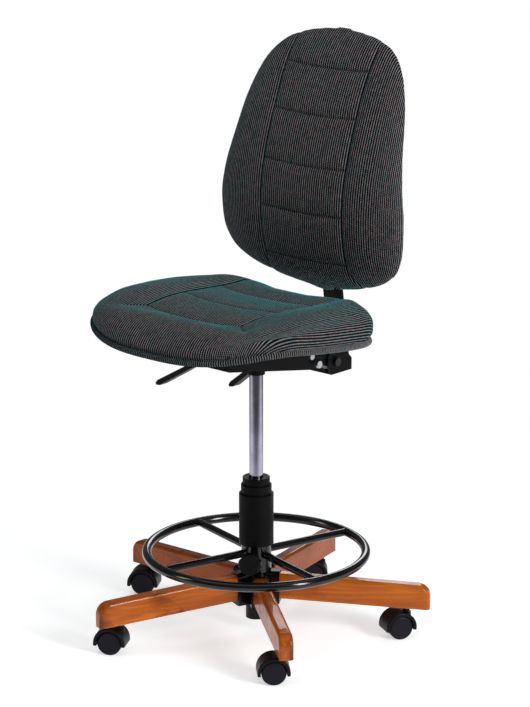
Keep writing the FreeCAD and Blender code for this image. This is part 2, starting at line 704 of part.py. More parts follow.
def rounded_loop(half_width, half_height, low_power, high_power, count=24):
    """Points of a closed oval that is squarer the larger its powers are."""
    points = []
    for i in range(count):
        turn = 2 * math.pi * i / count
        power = 2 / (high_power if math.sin(turn) > 0 else low_power)
        across = math.copysign(abs(math.cos(turn)) ** power, math.cos(turn))
        up = math.copysign(abs(math.sin(turn)) ** power, math.sin(turn))
        points.append((half_width * across, half_height * up))
    return points


def closed_curve(points):
    curve = Part.BSplineCurve()
    curve.interpolate(points, PeriodicFlag=True)
    return Part.Wire(curve.toShape())


def back_section(height, half_width, middle, thickness):
    loop = rounded_loop(half_width, thickness / 2, 2.5, 2.5)
    return closed_curve([Vector(x, middle + y, height) for x, y in loop])


def make_back():
    board_line = ((188, 735), (186, 850), (189, 960), (203, 1060), (224, 1130))
    front = [(f"{y - 5}", f"{z}") for y, z in board_line]
    rear = [(f"{y + 5}", f"{z}") for y, z in reversed(board_line)]
    board = plate("BackBoard", "YZ_Plane", front + rear, "300")
    keep(board, "back_board")
    doc.recompute()
    loft = Part.makeLoft([back_section(*row) for row in BACK_SECTIONS], True, False)
    grown = plate("BackBoardRoom", "YZ_Plane",
                  [(f"{y - 5.3}", f"{z}") for y, z in board_line]
                  + [(f"{y + 5.3}", f"{z}") for y, z in reversed(board_line)], "300.6")
    doc.recompute()
    recess = Part.makeBox(104, 60, 225, Vector(-52, 193.5, 690))
    shape = loft.cut(grown.Shape).cut(recess)
    doc.removeObject(grown.Tip.Name)
    for item in list(grown.Group):
        doc.removeObject(item.Name)
    doc.removeObject(grown.Name)
    cushion = doc.addObject("Part::Feature", "BackCushion")
    cushion.Shape = shape
    keep(cushion, "back_cushion")


# ---------------------------------------------------------------- seat

def seat_place():
    return Placement(Vector(0, 0, value("seat_height")), Rotation(X_AXIS, -value("seat_slope")))


def seat_outline(grow, height, depth):
    """Prism of the seat's plan outline, grown outwards by an amount."""
    half_width = value("seat_half_width") + grow
    half_depth = value("seat_half_depth") + grow
    centre = value("seat_centre_back")
    points = [Vector(x, centre + y, height)
              for x, y in rounded_loop(half_width, half_depth, 2.8, 3.1, 40)]
    face = Part.Face(closed_curve(points))
    return face.extrude(Vector(0, 0, depth))


def waterfall(back):
    """Drop of the seat pan below its plane towards the front edge."""
    start = value("waterfall_start")
    radius = value("waterfall_radius")
    if back >= start:
        return 0.0
    return radius - math.sqrt(radius ** 2 - (back - start) ** 2)


def pan_band(low, high, reach=400):
    """Band across the whole seat that follows the waterfall, between two heights."""
    backs = [-315, -290, -265, -240, -215, -190, -160]
    lower = [Vector(-reach, back, low - waterfall(back)) for back in backs]
    upper = [Vector(-reach, back, high - waterfall(back)) for back in backs]
    low_curve = Part.BSplineCurve()
    low_curve.interpolate(lower)
    high_curve = Part.BSplineCurve()
    high_curve.interpolate(upper)
    rear_low = Vector(-reach, 200, low)
    rear_high = Vector(-reach, 200, high)
    edges = [low_curve.toShape(), Part.LineSegment(lower[-1], rear_low).toShape(),
             Part.LineSegment(rear_low, rear_high).toShape(),
             Part.LineSegment(rear_high, upper[-1]).toShape(), high_curve.toShape(),
             Part.LineSegment(upper[0], lower[0]).toShape()]
    face = Part.Face(Part.Wire(Part.__sortEdges__(edges)))
    return face.extrude(Vector(2 * reach, 0, 0))


# distance behind the column, height of the crown above the seat plane
SEAT_CROWN = (
    (-311.5, -22), (-308, -12), (-298, 1), (-282, 12), (-262, 19), (-230, 25), (-185, 35),
    (-130, 49), (-65, 57), (0, 61), (60, 62), (100, 61), (125, 56), (140, 46), (149, 31),
    (151.5, 18))
# distance behind the column, height of the side bolsters above the crown
SEAT_BOLSTERS = (
    (-320, 0), (-200, 13), (-80, 22), (0, 26), (60, 27), (100, 24), (130, 17), (155, 0))


def between(table, place):
    for (low, first), (high, second) in zip(table, table[1:]):
        if place <= high:
            return first + (second - first) * (place - low) / (high - low)
    return table[-1][1]


def seat_half_width(back, grow):
    half_depth = value("seat_half_depth") + grow
    share = abs(back - value("seat_centre_back")) / half_depth
    power = 2.8 if back < value("seat_centre_back") else 3.1
    return (value("seat_half_width") + grow) * (1 - share ** power) ** (1 / power)


def seat_section(back, crown):
    """Upright cross-section of the seat cushion at one distance behind the column."""
    low = 5 - waterfall(back)
    wide = seat_half_width(back, 6)
    widest = low + 0.55 * (crown - low)
    points = []
    for x, z in rounded_loop(wide, 1, 5, 4.4, 40):
        height = widest + z * ((crown - widest) if z > 0 else (widest - low))
        share = min(abs(x) / wide / 0.95, 1)
        if z > 0:
            height += 1.5 * share * math.sin(math.pi * share) ** 2 * between(SEAT_BOLSTERS, back)
        points.append(Vector(x, back, height))
    return closed_curve(points)


def seat_feature(name, node, shape):
    item = doc.addObject("Part::Feature", name)
    item.Shape = shape
    keep(item, node, seat_place())


def make_seat():
    half = value("board_thickness") / 2
    board = seat_outline(-16, -80, 120).common(pan_band(-half, half - 0.3))
    arm_holes = []
    for side in (-1, 1):
        for i in range(4):
            turn = math.radians(45 + 90 * i)
            spot = Vector(side * 175 + 35 * math.cos(turn), -60 + 35 * math.sin(turn), -half - 1)
            arm_holes.append(Part.makeCylinder(4.3, 9, spot))
    seat_feature("SeatBoard", "seat_board", board.cut(Part.makeCompound(arm_holes)))

    size = value("welt_size")
    ring = seat_outline(3, -80, 120).cut(seat_outline(3 - size, -81, 122))
    welt = ring.common(pan_band(-size / 2 - 1, size / 2 - 1.3))
    seat_feature("SeatWelt", "seat_welt", welt)

    cushion = Part.makeLoft([seat_section(*row) for row in SEAT_CROWN], True, False)
    seat_feature("SeatCushion", "seat_cushion", cushion)

    tray = box("SeatTray", ("-80", "-150", "-9.4"), ("80", "125", "-5.4"))
    solids = [tray]
    for side in (-1, 1):
        low = 60 if side > 0 else -63
        solids.append(box(f"TrayFlange{side + 2}", (f"{low}", "-140", "-42"),
                          (f"{low + 3}", "-82", "-7")))
    pivot = seat_place().inverse().multVec(
        Vector(0, value("tilt_pivot_back"), value("tilt_pivot_height")))
    hole = cylinder("TrayHole", "pivot_radius + running_gap", "200",
                    along_x(-100, pivot.y, pivot.z))
    keep(cut("Tray", fuse("TrayBody", solids), [hole]), "seat_plate", seat_place())


# ---------------------------------------------------------------- build and export

def check_document():
    for item in doc.Objects:
        if "Invalid" in item.State or "Error" in item.State:
            raise RuntimeError(f"{item.Name} failed: {item.State}")
    for item in nodes:
        if item.Shape.isNull() or not item.Shape.isValid():
            raise RuntimeError(f"{item.Label} has no valid shape")


def export_nodes():
    os.makedirs("parts", exist_ok=True)
    for item in nodes:
        item.Shape.exportStep(f"parts/{item.Label}.step")


fill_sheet()
make_hub()
make_leg_screws()
make_castor_fittings()
for index, leg_angle in enumerate(leg_angles(), 1):
    make_leg(index, leg_angle)
    make_castor(index, leg_angle, CASTOR_HEADINGS[index - 1])
make_column()
make_spindle()
make_pressure_tube()
make_covers()
make_ring()
make_knob()
make_housing()
make_control_bolts()
make_levers()
make_back_arm()
make_channel()
make_back()
make_seat()
doc.recompute()
check_document()
export_nodes()
for item in nodes:
    print(f"{item.Label:24s} solids {len(item.Shape.Solids)}  volume {item.Shape.Volume:12.1f}")
print("nodes", len(nodes))
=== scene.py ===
"""Looks of the drafting chair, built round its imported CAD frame."""
import math

import bpy
import numpy as np
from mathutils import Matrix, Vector, noise


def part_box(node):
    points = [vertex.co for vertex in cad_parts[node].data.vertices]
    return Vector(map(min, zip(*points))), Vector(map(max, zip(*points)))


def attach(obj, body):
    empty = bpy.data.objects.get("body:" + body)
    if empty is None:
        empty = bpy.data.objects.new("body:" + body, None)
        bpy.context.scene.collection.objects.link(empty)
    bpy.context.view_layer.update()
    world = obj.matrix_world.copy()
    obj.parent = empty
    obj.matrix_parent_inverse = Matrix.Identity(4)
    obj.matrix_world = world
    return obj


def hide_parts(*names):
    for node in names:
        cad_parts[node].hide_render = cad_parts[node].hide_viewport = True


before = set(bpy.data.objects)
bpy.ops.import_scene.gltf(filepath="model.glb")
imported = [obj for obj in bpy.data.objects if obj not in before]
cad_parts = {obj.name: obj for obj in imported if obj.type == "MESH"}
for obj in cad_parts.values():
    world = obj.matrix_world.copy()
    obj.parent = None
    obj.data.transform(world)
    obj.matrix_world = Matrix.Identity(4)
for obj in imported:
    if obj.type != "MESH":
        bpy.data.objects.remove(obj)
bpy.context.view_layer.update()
scene = bpy.context.scene
TAU = 2 * math.pi

AMBIENT = 0.12          # strength of the white surround as light; the camera sees it at 1
RIB_PITCH = 0.0056      # distance from one rib of the cloth to the next
VOXEL = 0.005           # cell of the even mesh that the cushions are shaped on
SECTION_POINTS = 150    # points round each section of a cushion
HELD_NEAR_SEAM = 0.0035     # cloth this close to a stitched line stays put while it is blown up
SEAM_WIDTH = 0.0021
# painted shade: the seams' creases are darkened in the cloth's colour over this width
SEAM_SHADE_WIDTH = 0.0015       # the darkened line in the middle of a seam
CHANNEL_WIDTH = 0.011
SEAM_DEPTH = 0.0026


# ------------------------------------------------------------------ camera

camera_data = bpy.data.cameras.new("camera")
camera_data.lens = 157.03
camera_data.sensor_width = 36.0
camera_data.clip_end = 200
camera = bpy.data.objects.new("camera", camera_data)
camera.location = (4.0148, -4.4589, 2.215)
camera.rotation_euler = (math.radians(74.82), 0, math.radians(41.83))
scene.collection.objects.link(camera)
scene.camera = camera


# ------------------------------------------------------------------ material helpers

class Shader:
    """A node material: add() makes a node, and a socket given as a value is linked."""

    def __init__(self, name):
        self.material = bpy.data.materials.new(name)
        self.material.use_nodes = True
        self.tree = self.material.node_tree
        self.tree.nodes.clear()

    def add(self, kind, inputs=None, **settings):
        node = self.tree.nodes.new(kind)
        for key, value in settings.items():
            setattr(node, key, value)
        for key, value in (inputs or {}).items():
            if isinstance(value, bpy.types.NodeSocket):
                self.tree.links.new(value, node.inputs[key])
            else:
                node.inputs[key].default_value = value
        return node

    def math(self, operation, first, second=0.0, third=0.0, clamp=False):
        node = self.add("ShaderNodeMath", {0: first, 1: second, 2: third},
                        operation=operation, use_clamp=clamp)
        return node.outputs[0]

    def mix(self, share, first, second):
        node = self.add("ShaderNodeMix", {0: share, 6: first, 7: second}, data_type="RGBA")
        return node.outputs[2]

    def span(self, value, low, high, new_low=0.0, new_high=1.0, smooth=True):
        node = self.add("ShaderNodeMapRange", {0: value, 1: low, 2: high, 3: new_low, 4: new_high},
                        interpolation_type="SMOOTHSTEP" if smooth else "LINEAR")
        return node.outputs[0]

    def place(self, scale=(1, 1, 1), turn=0.0):
        """Object coordinates in metres, turned about the upright axis and then scaled."""
        spot = self.add("ShaderNodeTexCoord").outputs["Object"]
        turned = self.add("ShaderNodeMapping", {0: spot, 2: (0, 0, turn)}).outputs[0]
        return self.add("ShaderNodeVectorMath", {0: turned, 1: scale},
                        operation="MULTIPLY").outputs[0]

    def noise(self, where, scale, detail=3.0, rough=0.5, distortion=0.0):
        return self.add("ShaderNodeTexNoise", {
            "Vector": where, "Scale": scale, "Detail": detail, "Roughness": rough,
            "Distortion": distortion}).outputs[0]

    def bump(self, height, distance, strength=1.0, under=None):
        inputs = {"Height": height, "Distance": distance, "Strength": strength}
        if under is not None:
            inputs["Normal"] = under
        return self.add("ShaderNodeBump", inputs).outputs[0]

    def finish(self, **inputs):
        named = {key.replace("_", " "): value for key, value in inputs.items()}
        surface = self.add("ShaderNodeBsdfPrincipled", named)
        self.add("ShaderNodeOutputMaterial", {"Surface": surface.outputs[0]})
        return self.material


def rgb(red, green, blue):
    return (red, green, blue, 1.0)


def cloth(name, pitch):
    """Ribbed two-tone upholstery: pale ribs on a dark ground, with a teal sheen."""
    s = Shader(name)
    rib = s.add("ShaderNodeAttribute", attribute_name="rib").outputs["Fac"]
    run = s.add("ShaderNodeAttribute", attribute_name="run").outputs["Fac"]
    seam = s.add("ShaderNodeAttribute", attribute_name="seam").outputs["Fac"]
    sway = s.noise(s.place(), 9.0, 2.0)
    across = s.math("DIVIDE", s.math("MULTIPLY_ADD", sway, 0.003, rib), pitch)
    wave = s.math("MULTIPLY_ADD", s.math("COSINE", s.math("MULTIPLY", across, TAU)), 0.5, 0.5)
    ridge = s.span(wave, 0.52, 0.90)
    # every rib is a row of beads, and each second row is set half a bead further on
    row = s.math("FLOOR", s.math("ADD", across, 0.5))
    shift = s.math("MULTIPLY", s.math("MODULO", row, 2.0), 0.5)
    along = s.math("ADD", s.math("DIVIDE", run, 0.0034), shift)
    beat = s.math("MULTIPLY_ADD", s.math("COSINE", s.math("MULTIPLY", along, TAU)), 0.5, 0.5)
    bead = s.span(beat, 0.05, 0.75, 0.35, 1.0)
    cell = s.add("ShaderNodeCombineXYZ",
                 {0: row, 1: s.math("MULTIPLY", run, 60.0), 2: 0.0}).outputs[0]
    streak = s.span(s.noise(cell, 1.7, 2.0), 0.30, 0.70, 0.55, 1.15, smooth=False)
    light = s.math("MULTIPLY", s.math("MULTIPLY", ridge, bead), streak, clamp=True)
    patch = s.span(s.noise(s.place(), 5.0, 3.0), 0.35, 0.70)
    ground = s.mix(patch, rgb(0.0010, 0.0038, 0.0045), rgb(0.002, 0.0080, 0.0090))
    thread = s.mix(s.span(s.noise(cell, 0.6, 1.0), 0.40, 0.60), rgb(0.400, 0.306, 0.317),
                   rgb(0.300, 0.311, 0.328))
    colour = s.mix(light, ground, thread)
    worn = s.span(s.noise(s.place(), 26.0, 4.0, 0.6), 0.45, 0.80, 0.0, 0.12)
    colour = s.mix(worn, colour, rgb(0.03, 0.032, 0.033))
    # painted shade: the cloth is darkened towards near black along each seam, where the crease is
    colour = s.mix(s.math("MULTIPLY", seam, 0.60), colour, rgb(0.004, 0.008, 0.009))
    height = s.math("ADD", s.math("MULTIPLY", ridge, 0.7), s.math("MULTIPLY", light, 0.3))
    fuzz = s.noise(s.place(), 900.0, 2.0)
    normal = s.bump(fuzz, 0.0002, 0.35, s.bump(height, 0.0007, 0.8))
    return s.finish(Base_Color=colour, Roughness=1.0, Specular_IOR_Level=0.03, Normal=normal,
                    Sheen_Weight=0.68, Sheen_Roughness=0.22, Sheen_Tint=rgb(0.0, 0.62, 0.66))


def varnished_wood(name, angle, darkening):
    """Stained timber with the grain along a leg that points at an angle; darkening deepens its
    tone, and on the far legs it is painted shade.
    """
    s = Shader(name)
    grain_spot = s.place((1.3, 17.0, 17.0), -angle)
    broad = s.noise(grain_spot, 2.2, 3.0, 0.55, 1.4)
    rings = s.math("FRACT", s.math("MULTIPLY", broad, 3.0))
    figure = s.span(s.math("ABSOLUTE", s.math("SUBTRACT", rings, 0.5)), 0.02, 0.48)
    fine = s.noise(s.place((9.0, 330.0, 330.0), -angle), 1.0, 4.0, 0.6)
    knots = s.noise(s.place((9.0, 15.0, 15.0), -angle), 1.0, 3.0, 0.5, 0.8)
    colour = s.mix(figure, rgb(0.42, 0.088, 0.003), rgb(0.56, 0.135, 0.005))
    colour = s.mix(s.span(fine, 0.42, 0.68, 0.0, 0.42), colour, rgb(0.24, 0.044, 0.003))
    colour = s.mix(s.span(knots, 0.48, 0.66, 0.0, 0.90), colour, rgb(0.110, 0.021, 0.004))
    glow = s.noise(s.place((3.0, 10.0, 10.0), -angle), 1.0, 2.0)
    colour = s.mix(s.span(glow, 0.50, 0.75, 0.0, 0.35), colour, rgb(0.72, 0.215, 0.008))
    # painted shade on the far legs 3 and 4: their colour is mixed towards deep brown by darkening
    colour = s.mix(darkening, colour, rgb(0.20, 0.034, 0.003))
    rough = s.span(s.noise(s.place(), 40.0, 3.0), 0.3, 0.7, 0.26, 0.42)
    normal = s.bump(fine, 0.0003, 0.25, s.bump(s.noise(s.place(), 28.0, 2.0), 0.002, 0.10))
    return s.finish(Base_Color=colour, Roughness=rough, Normal=normal, Coat_Weight=0.32,
                    Coat_Roughness=0.04, Coat_IOR=1.5, Specular_IOR_Level=0.10)


def moulded(name, colour, low, high, grain=1400.0, depth=0.00012, scuff=0.35):
    """Textured black plastic with faint scuffs."""
    s = Shader(name)
    spark = s.noise(s.place(), grain, 3.0, 0.6)
    smear = s.noise(s.place(), 22.0, 5.0, 0.65, 0.4)
    rough = s.span(smear, 0.30, 0.70, low, high)
    dusty = s.span(s.noise(s.place(), 70.0, 6.0, 0.7), 0.55, 0.80, 0.0, scuff)
    pale = tuple(min(1.0, c * 2.2 + 0.006) for c in colour[:3]) + (1.0,)
    return s.finish(Base_Color=s.mix(dusty, colour, pale), Roughness=rough,
                    Normal=s.bump(spark, depth, 0.5), Specular_IOR_Level=0.10)


def coated(name, colour, low, high, coat):
    """Powder-coated steel: a faint orange peel under a thin gloss."""
    s = Shader(name)
    peel = s.noise(s.place(), 520.0, 2.0, 0.5)
    smear = s.noise(s.place(), 16.0, 4.0, 0.6)
    rough = s.span(smear, 0.30, 0.70, low, high)
    rub = s.span(s.noise(s.place(), 95.0, 5.0, 0.72), 0.60, 0.82, 0.0, 0.30)
    pale = tuple(c + 0.012 for c in colour[:3]) + (1.0,)
    return s.finish(Base_Color=s.mix(rub, colour, pale), Roughness=rough, Coat_Weight=coat,
                    Coat_Roughness=0.12, Specular_IOR_Level=0.10,
                    Normal=s.bump(peel, 0.00025, 0.35))


def metal(name, dark, light, low, high, stretch=(900.0, 900.0, 6.0), specks=0.0, bare_up_to=None):
    """Ground or plated steel with fine working marks; it may be painted beyond one depth."""
    s = Shader(name)
    marks = s.noise(s.place(stretch), 1.0, 4.0, 0.65)
    cloud = s.noise(s.place(), 30.0, 3.0, 0.6)
    colour = s.mix(s.span(cloud, 0.35, 0.65), dark, light)
    if specks:
        pits = s.noise(s.place(), 160.0, 1.0, 0.3)
        colour = s.mix(s.span(pits, 0.76, 0.79, 0.0, specks), colour, rgb(0.03, 0.028, 0.03))
    rough = s.span(marks, 0.30, 0.70, low, high)
    shine = 1.0
    if bare_up_to is not None:
        back = s.add("ShaderNodeSeparateXYZ", {0: s.place()}).outputs[1]
        paint = s.math("GREATER_THAN", back, bare_up_to)
        colour = s.mix(paint, colour, rgb(0.005, 0.005, 0.006))
        shine = s.math("SUBTRACT", 1.0, paint)
    return s.finish(Base_Color=colour, Metallic=shine, Roughness=rough,
                    Normal=s.bump(marks, 0.0001, 0.25))


def stained_ply(name):
    """Black-stained plywood: dark faces, with the layers showing through at the edge."""
    s = Shader(name)
    layers = s.add("ShaderNodeTexWave", {
        "Vector": s.place((0.05, 0.05, 1.0)), "Scale": 105.0, "Distortion": 1.2,
        "Detail": 2.0}, bands_direction="Z").outputs[1]
    grain = s.noise(s.place((180.0, 6.0, 180.0)), 1.0, 4.0, 0.6)
    colour = s.mix(s.span(layers, 0.3, 0.8, 0.0, 0.6), rgb(0.020, 0.016, 0.013),
                   rgb(0.060, 0.043, 0.030))
    colour = s.mix(s.span(grain, 0.45, 0.75, 0.0, 0.5), colour, rgb(0.010, 0.008, 0.007))
    return s.finish(Base_Color=colour, Roughness=s.span(grain, 0.3, 0.7, 0.5, 0.75),
                    Normal=s.bump(grain, 0.0003, 0.5))


# ------------------------------------------------------------------ mesh helpers

def object_from(name, points, faces):
    """New object with a checked mesh, linked to the scene."""
    mesh = bpy.data.meshes.new(name)
    mesh.from_pydata([tuple(p) for p in points], [], faces)
    mesh.validate()
    piece = bpy.data.objects.new(name, mesh)
    scene.collection.objects.link(piece)
    return piece


def closed_loft(name, loops):
    """Closed skin over a stack of loops with equal numbers of points."""
    count = len(loops[0])
    points = [p for loop in loops for p in loop]
    faces = []
    for row in range(len(loops) - 1):
        low, high = row * count, (row + 1) * count
        faces += [(low + i, low + (i + 1) % count, high + (i + 1) % count, high + i)
                  for i in range(count)]
    faces.append(tuple(reversed(range(count))))
    faces.append(tuple(range(len(points) - count, len(points))))
    return object_from(name, points, faces)


def apply_modifiers(piece):
    """Bakes the modifiers into the mesh."""
    seen = piece.evaluated_get(bpy.context.evaluated_depsgraph_get())
    mesh = bpy.data.meshes.new_from_object(seen)
    old = piece.data
    piece.modifiers.clear()
    piece.data = mesh
    bpy.data.meshes.remove(old)


def remesh(piece, size):
    step = piece.modifiers.new("remesh", "REMESH")
    step.mode = "VOXEL"
    step.voxel_size = size
    apply_modifiers(piece)


def positions(piece):
    flat = np.zeros(len(piece.data.vertices) * 3)
    piece.data.vertices.foreach_get("co", flat)
    return flat.reshape(-1, 3)


def normals(piece):
    flat = np.zeros(len(piece.data.vertices) * 3)
    piece.data.vertices.foreach_get("normal", flat)
    return flat.reshape(-1, 3)


def set_positions(piece, points):
    piece.data.vertices.foreach_set("co", np.asarray(points, float).ravel())
    piece.data.update()


def store(piece, name, values):
    layer = piece.data.attributes.new(name, "FLOAT", "POINT")
    layer.data.foreach_set("value", np.asarray(values, np.float32))


def inflate(piece, held, cap, last_frame=20, even_rounds=14):
    """Blows the piece up as cloth round the held points, and moves no point further than cap.

    The moves are then evened out between neighbours, so that no small wrinkle stays.
    """
    start = positions(piece)
    group = piece.vertex_groups.new(name="held")
    group.add([int(i) for i in np.nonzero(held)[0]], 1.0, "REPLACE")
    step = piece.modifiers.new("cloth", "CLOTH")
    step.settings.quality = 5
    step.settings.mass = 0.2
    step.settings.tension_stiffness = 12
    step.settings.compression_stiffness = 12
    step.settings.shear_stiffness = 5
    step.settings.bending_stiffness = 0.4
    step.settings.use_pressure = True
    step.settings.uniform_pressure_force = 4
    step.settings.vertex_group_mass = "held"
    step.settings.effector_weights.gravity = 0
    step.collision_settings.use_collision = False
    step.point_cache.frame_start = 1
    step.point_cache.frame_end = last_frame
    for number in range(1, last_frame + 1):
        scene.frame_set(number)
    seen = piece.evaluated_get(bpy.context.evaluated_depsgraph_get())
    blown = np.zeros(len(seen.data.vertices) * 3)
    seen.data.vertices.foreach_get("co", blown)
    move = blown.reshape(-1, 3) - start
    length = np.linalg.norm(move, axis=1, keepdims=True)
    move *= np.minimum(1.0, cap / np.maximum(length, 1e-9))
    ends = np.zeros(len(piece.data.edges) * 2, int)
    piece.data.edges.foreach_get("vertices", ends)
    one, two = ends.reshape(-1, 2).T
    count = np.bincount(ends, minlength=len(start))[:, None]
    for _ in range(even_rounds):
        total = np.zeros_like(move)
        np.add.at(total, one, move[two])
        np.add.at(total, two, move[one])
        move = np.where(held[:, None], move, 0.4 * move + 0.6 * total / count)
    piece.modifiers.clear()
    piece.vertex_groups.clear()
    set_positions(piece, start + move)
    scene.frame_set(1)


def smooth_out(piece, rounds):
    step = piece.modifiers.new("smooth", "SMOOTH")
    step.factor = 0.5
    step.iterations = rounds
    apply_modifiers(piece)


def subdivide(piece):
    step = piece.modifiers.new("subdivide", "SUBSURF")
    step.levels = 1
    step.render_levels = 1
    apply_modifiers(piece)
    piece.data.shade_smooth()


def refined(rows):
    """Table in metres with monotone cubic curves drawn through each column of a coarse one."""
    rows = np.array(rows, float) / 1000
    place = rows[:, 0]
    width = np.diff(place)
    fine = np.concatenate([np.linspace(a, b, 11)[:-1] for a, b in zip(place, place[1:])]
                          + [place[-1:]])
    row = np.clip(np.searchsorted(place, fine, "right") - 1, 0, len(width) - 1)
    t = (fine - place[row]) / width[row]
    columns = [fine]
    for values in rows.T[1:]:
        steep = np.diff(values) / width
        slope = np.concatenate([steep[:1], np.zeros(len(steep) - 1), steep[-1:]])
        for i in range(1, len(steep)):
            if steep[i - 1] * steep[i] > 0:
                one, two = 2 * width[i] + width[i - 1], width[i] + 2 * width[i - 1]
                slope[i] = (one + two) / (one / steep[i - 1] + two / steep[i])
        columns.append((1 + 2 * t) * (1 - t) ** 2 * values[row]
                       + t * (1 - t) ** 2 * width[row] * slope[row]
                       + t * t * (3 - 2 * t) * values[row + 1]
                       - t * t * (1 - t) * width[row] * slope[row + 1])
    return np.stack(columns, 1)


def ease(value, low, high):
    """Smooth step from 0 at low to 1 at high."""
    share = np.clip((value - low) / (high - low), 0, 1)
    return share * share * (3 - 2 * share)


def pull_in(piece, gap, narrow, wide):
    """Sinks a narrow seam in a wide, soft channel.

    gap is each point's distance to the nearest stitched line.
    """
    points = positions(piece)
    wobble = np.array([noise.noise(Vector(p) * 55.0) for p in points])
    depth = narrow * np.exp(-(gap / SEAM_WIDTH) ** 2) * (1 + 0.35 * wobble)
    depth += wide * np.exp(-(gap / CHANNEL_WIDTH) ** 2)
    soft = np.array([noise.noise(Vector(p) * 17.0 + Vector((3, 8, 1))) for p in points])
    depth += 0.0007 * soft
    set_positions(piece, points - normals(piece) * depth[:, None])
    # the seam mask darkens the cloth's colour along each seam as painted shade
    store(piece, "seam", np.exp(-(gap / SEAM_SHADE_WIDTH) ** 2))


# ------------------------------------------------------------------ back cushion

# height, half width, distance of the middle behind the column, thickness, in millimetres
BACK_ROWS = refined((
    (680, 8, 214, 5), (684, 25, 211, 13), (692, 64, 207, 27), (706, 128, 198, 44),
    (728, 182, 187, 61), (760, 219, 176, 70), (805, 236, 168, 75), (860, 239, 165, 78),
    (920, 232, 169, 77), (990, 220, 184, 74), (1060, 208, 205, 69), (1115, 192, 224, 63),
    (1158, 169, 241, 54), (1188, 135, 255, 39), (1204, 92, 263, 26), (1212, 45, 267, 12),
    (1216, 12, 269, 5)))
BACK_POWER = 2.5
BACK_PUFF = 0.009
BACK_CHANNEL_DEPTH = 0.0018
BACK_SEAM_SIDE = 0.110
BACK_SEAMS = (0.757, 0.859, 0.955, 1.055, 1.147)
# pocket for the bar and its sleeve: half width, depth of its floor, bottom and top
RECESS = (0.052, 0.1935, 0.690, 0.915)


def back_row(height):
    """Half width, middle and thickness of the back at each height."""
    return [np.interp(height, BACK_ROWS[:, 0], BACK_ROWS[:, i]) for i in (1, 2, 3)]


def back_gap(points, front):
    """Distance from each point of the back's skin to its nearest stitched line."""
    x, z = np.abs(points[:, 0]), points[:, 2]
    flare = BACK_SEAM_SIDE + 0.35 * np.clip(0.745 - z, 0, 1)
    gap = np.abs(x - flare)
    for height in BACK_SEAMS:
        sag = height - 0.004 * (1 - (x / BACK_SEAM_SIDE) ** 2)
        across = np.hypot(z - sag, np.clip(x - BACK_SEAM_SIDE, 0, 1))
        gap = np.minimum(gap, across)
    half, middle, thick = back_row(z)
    rim = np.abs(points[:, 1] - (middle + 0.30 * thick))
    return np.where(front, gap, np.where(x / half > 0.6, rim, 1.0))


def in_recess(points, room):
    """Which points lie in the back's pocket, or within some room of it."""
    half, back, low, high = RECESS
    return ((np.abs(points[:, 0]) < half + room) & (points[:, 1] > back - room)
            & (points[:, 2] > low - room) & (points[:, 2] < high + room))


def make_back():
    loops = []
    for z in np.concatenate([np.linspace(0.680, 0.728, 12)[:-1], np.linspace(0.728, 1.158, 80),
                             np.linspace(1.158, 1.216, 14)[1:]]):
        half, middle, thick = back_row(z)
        slim = 0.005 * min(1, thick / 0.05)
        loop = []
        for i in range(SECTION_POINTS):
            turn = TAU * i / SECTION_POINTS
            c, s = math.cos(turn), math.sin(turn)
            x = math.copysign(abs(c) ** (2 / BACK_POWER), c) * (half - slim)
            y = middle + math.copysign(abs(s) ** (2 / BACK_POWER), s) * (thick / 2 - slim)
            y += 0.006 * max(0.0, s) * min(1, thick / 0.05)
            loop.append(Vector((x, y, z)))
        loops.append(loop)
    piece = closed_loft("back_upholstery", loops)
    remesh(piece, VOXEL)
    points = positions(piece)
    half, middle, thick = back_row(points[:, 2])
    floor = np.maximum(RECESS[1], middle - 0.5 * thick + 0.010)
    points[:, 1] = np.where(in_recess(points, 0.0), np.minimum(points[:, 1], floor), points[:, 1])
    set_positions(piece, points)
    remesh(piece, VOXEL)
    points, facing = positions(piece), normals(piece)
    gap = back_gap(points, facing[:, 1] < 0.35)
    inflate(piece, (gap < HELD_NEAR_SEAM) | in_recess(points, 0.012), BACK_PUFF)
    smooth_out(piece, 3)
    subdivide(piece)
    points = positions(piece)
    low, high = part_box("back_cushion")
    for axis in (0, 2):
        mine_low, mine_high = points[:, axis].min(), points[:, axis].max()
        scale = (high[axis] - low[axis]) / (mine_high - mine_low)
        points[:, axis] = low[axis] + (points[:, axis] - mine_low) * scale
    set_positions(piece, points)
    facing = normals(piece)
    gap = back_gap(points, facing[:, 1] < 0.45)
    gap[in_recess(points, 0.006)] = 1.0
    # the seams fade out near the top and the bottom
    gap += 0.25 * np.clip(points[:, 2] - 1.185, 0, 1) + 0.25 * np.clip(0.712 - points[:, 2], 0, 1)
    pull_in(piece, gap, SEAM_DEPTH, BACK_CHANNEL_DEPTH)
    x, y, z = points.T
    half, middle, thick = back_row(z)
    share = np.abs(x) / half
    # 1 where the skin turns round at the sides, 0 where it turns at the top and the bottom
    across = (np.abs(x) / 0.235) ** 6
    upright = across / (across + (np.abs(z - 0.948) / 0.268) ** 6 + 1e-9)
    depth = np.clip(y - (middle - 0.33 * thick), 0, 1) * ease(share, 0.55, 0.95)
    depth = np.where(facing[:, 1] > 0.6, 0.0, depth)
    store(piece, "rib", np.sign(x) * (np.abs(x) + upright * depth))
    store(piece, "run", z + (1 - upright) * depth)
    piece.data.materials.append(cloth("cloth_back", RIB_PITCH))
    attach(piece, "back")
    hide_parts("back_cushion")


# ------------------------------------------------------------------ seat cushion

SEAT_HEIGHT = 0.647
SEAT_SLOPE = math.radians(-7)
SEAT_HALF_WIDTH = 0.262
SEAT_HALF_DEPTH = 0.226
SEAT_CENTRE = -0.080
SEAT_FRONT = -0.3115
SEAT_LENGTH = 0.463
SEAT_WIDEST = 0.268         # half the width over the fullest part of the sides
SEAT_UNDERSIDE = -0.0040
SEAT_PUFF = 0.010
SEAT_CHANNEL_DEPTH = 0.0010
SHOULDER_RADIUS = 0.030     # the ribs follow the skin round a shoulder of this size
WATERFALL_START = -0.160
WATERFALL_RADIUS = 0.281
